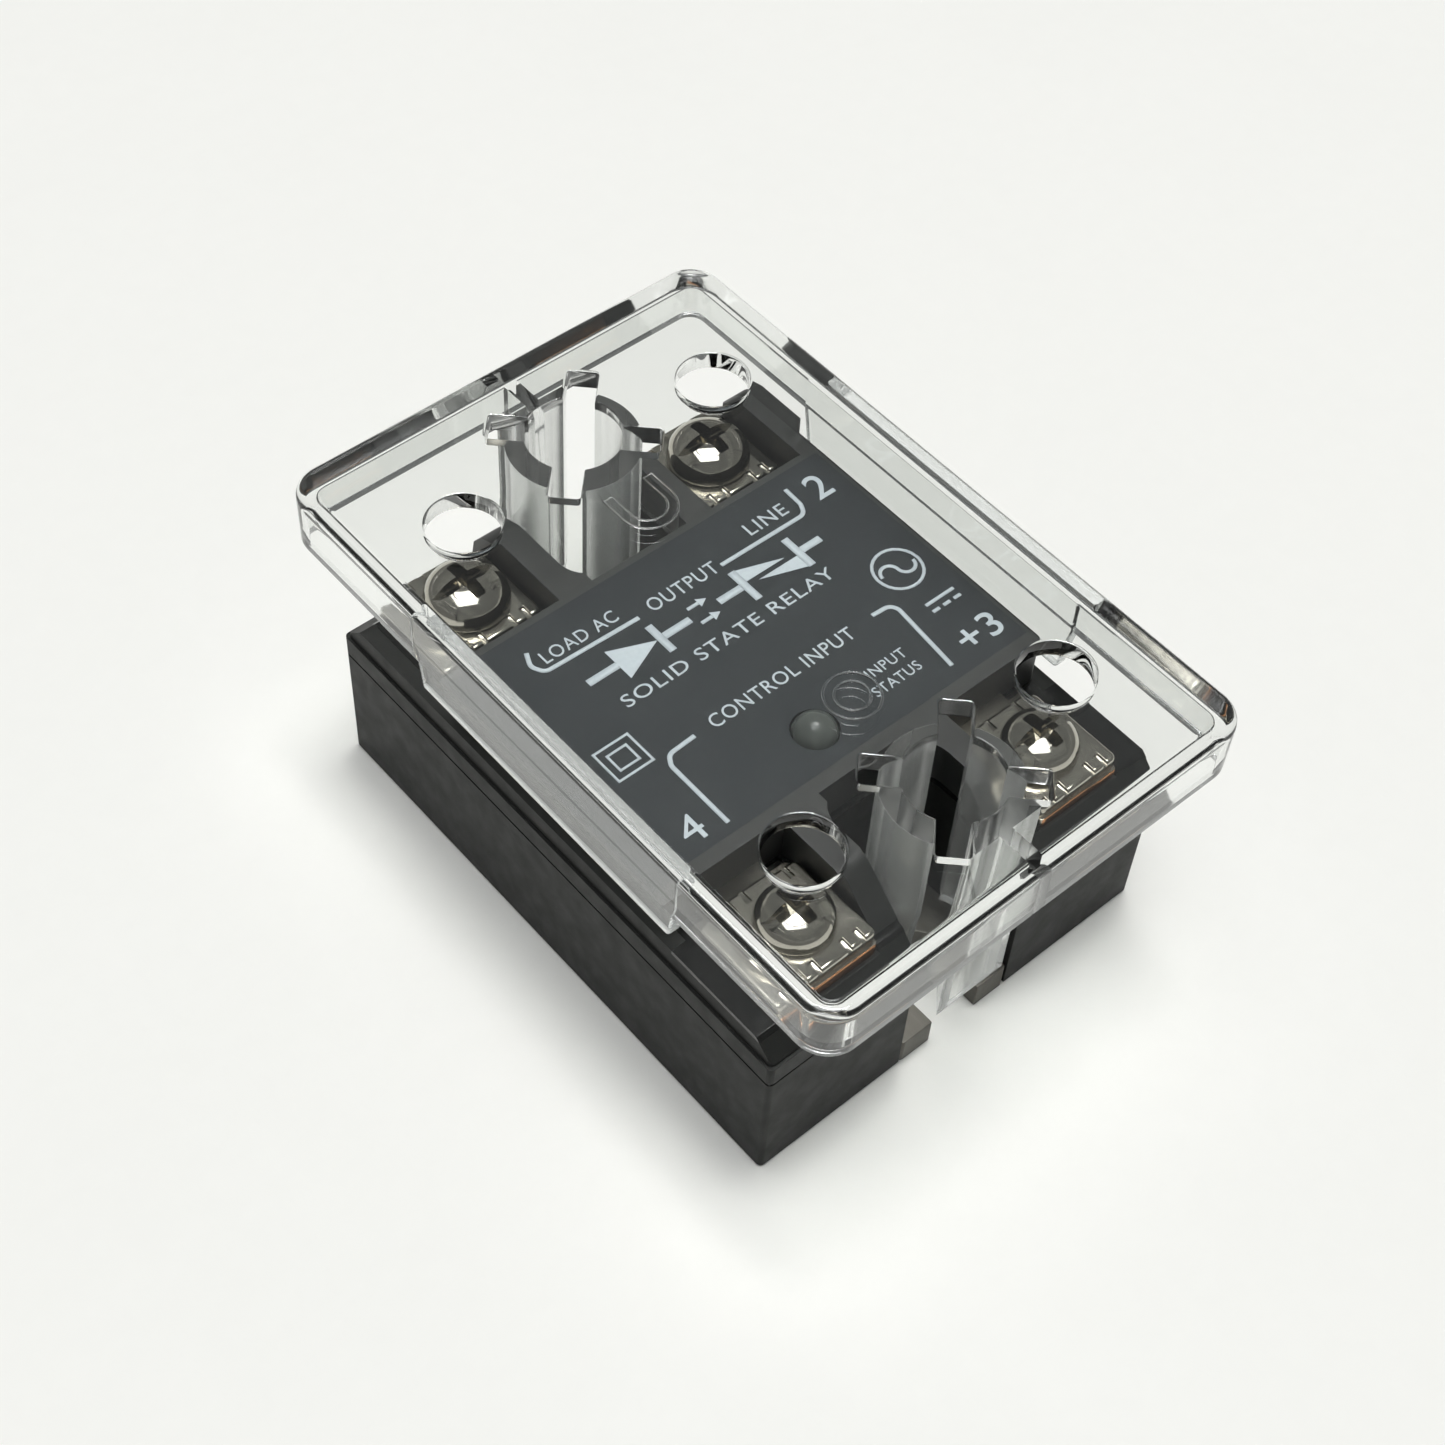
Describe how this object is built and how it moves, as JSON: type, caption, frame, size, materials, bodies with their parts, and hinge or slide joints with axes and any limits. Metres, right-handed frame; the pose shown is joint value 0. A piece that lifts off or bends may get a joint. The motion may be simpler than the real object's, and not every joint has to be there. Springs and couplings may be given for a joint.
{
  "type": "solid state relay",
  "caption": "Panel-mount solid state relay with a metal heat-sink base, screw clamp terminals and a clear clip-on cover with driver holes.",
  "frame": {"origin": "centre of the heat-sink face of the base plate", "axes": "+Z away from the heat sink, +Y towards the output end, +X towards the side of terminals 2 and 3"},
  "size_m": [0.0462, 0.0692, 0.031],
  "materials": {
    "clear_cover": "clear polished polycarbonate",
    "black_housing": "satin moulded thermoplastic",
    "base_metal": "dull rolled plate",
    "nickel_steel": "bright nickel plate on steel",
    "nickel_copper": "nickel plate on copper, sheared edges bare",
    "bare_copper": "bare copper",
    "white_ceramic": "fired alumina",
    "silicon": "polished silicon",
    "tinned_wire": "tinned copper",
    "board_laminate": "green glass-epoxy laminate",
    "black_epoxy": "moulded epoxy package",
    "capacitor_case": "moulded box",
    "resistor_coating": "lacquered body",
    "led_lens": "water-clear epoxy",
    "potting": "cast resin"
  },
  "bodies": {
    "relay_body": {"base_plate": "base_metal", "ceramic_substrate": "white_ceramic", "chip_strap_left": "bare_copper", "chip_strap_right": "bare_copper", "control_board": "board_laminate", "film_capacitor": "capacitor_case", "gate_pins": "tinned_wire", "gate_resistor": "resistor_coating", "housing": "black_housing", "input_resistor": "resistor_coating", "input_transistor": "black_epoxy", "led_leads": "tinned_wire", "optocoupler": "black_epoxy", "potting_resin": "potting", "snubber_resistor": "resistor_coating", "status_led": "led_lens", "substrate_pads": "bare_copper", "terminal_1": "nickel_copper", "terminal_2": "nickel_copper", "terminal_3": "nickel_copper", "terminal_4": "nickel_copper", "thyristor_chip_left": "silicon", "thyristor_chip_right": "silicon"},
    "cover": {"cover": "clear_cover"},
    "wire_clamp_1": {"wire_clamp_1": "nickel_steel"},
    "terminal_screw_1": {"terminal_screw_1": "nickel_steel"},
    "wire_clamp_2": {"wire_clamp_2": "nickel_steel"},
    "terminal_screw_2": {"terminal_screw_2": "nickel_steel"},
    "wire_clamp_3": {"wire_clamp_3": "nickel_steel"},
    "terminal_screw_3": {"terminal_screw_3": "nickel_steel"},
    "wire_clamp_4": {"wire_clamp_4": "nickel_steel"},
    "terminal_screw_4": {"terminal_screw_4": "nickel_steel"}
  },
  "joints": [
    {"name": "cover_lift", "type": "slide", "parent": "relay_body", "child": "cover", "axis": [0, 0, 1], "range_m": [0, 0.03]},
    {"name": "wire_clamp_1_lift", "type": "slide", "parent": "relay_body", "child": "wire_clamp_1", "axis": [0, 0, 1], "range_m": [0, 0.00238]},
    {"name": "terminal_screw_1_turn", "type": "hinge", "parent": "wire_clamp_1", "child": "terminal_screw_1", "pos_m": [-0.0138, 0.0214, 0.0201], "axis": [0, 0, 1], "range_deg": [0, 1080]},
    {"name": "wire_clamp_2_lift", "type": "slide", "parent": "relay_body", "child": "wire_clamp_2", "axis": [0, 0, 1], "range_m": [0, 0.00238]},
    {"name": "terminal_screw_2_turn", "type": "hinge", "parent": "wire_clamp_2", "child": "terminal_screw_2", "pos_m": [0.0138, 0.0214, 0.0201], "axis": [0, 0, 1], "range_deg": [0, 1080]},
    {"name": "wire_clamp_3_lift", "type": "slide", "parent": "relay_body", "child": "wire_clamp_3", "axis": [0, 0, 1], "range_m": [0, 0.00238]},
    {"name": "terminal_screw_3_turn", "type": "hinge", "parent": "wire_clamp_3", "child": "terminal_screw_3", "pos_m": [0.0138, -0.0214, 0.0201], "axis": [0, 0, 1], "range_deg": [0, 1080]},
    {"name": "wire_clamp_4_lift", "type": "slide", "parent": "relay_body", "child": "wire_clamp_4", "axis": [0, 0, 1], "range_m": [0, 0.00238]},
    {"name": "terminal_screw_4_turn", "type": "hinge", "parent": "wire_clamp_4", "child": "terminal_screw_4", "pos_m": [-0.0138, -0.0214, 0.0201], "axis": [0, 0, 1], "range_deg": [0, 1080]}
  ],
  "couplings": [
    {"joint": "terminal_screw_1_turn", "follows": "wire_clamp_1_lift", "rad_per_m": 7915.8},
    {"joint": "terminal_screw_2_turn", "follows": "wire_clamp_2_lift", "rad_per_m": 7915.8},
    {"joint": "terminal_screw_3_turn", "follows": "wire_clamp_3_lift", "rad_per_m": 7915.8},
    {"joint": "terminal_screw_4_turn", "follows": "wire_clamp_4_lift", "rad_per_m": 7915.8}
  ]
}
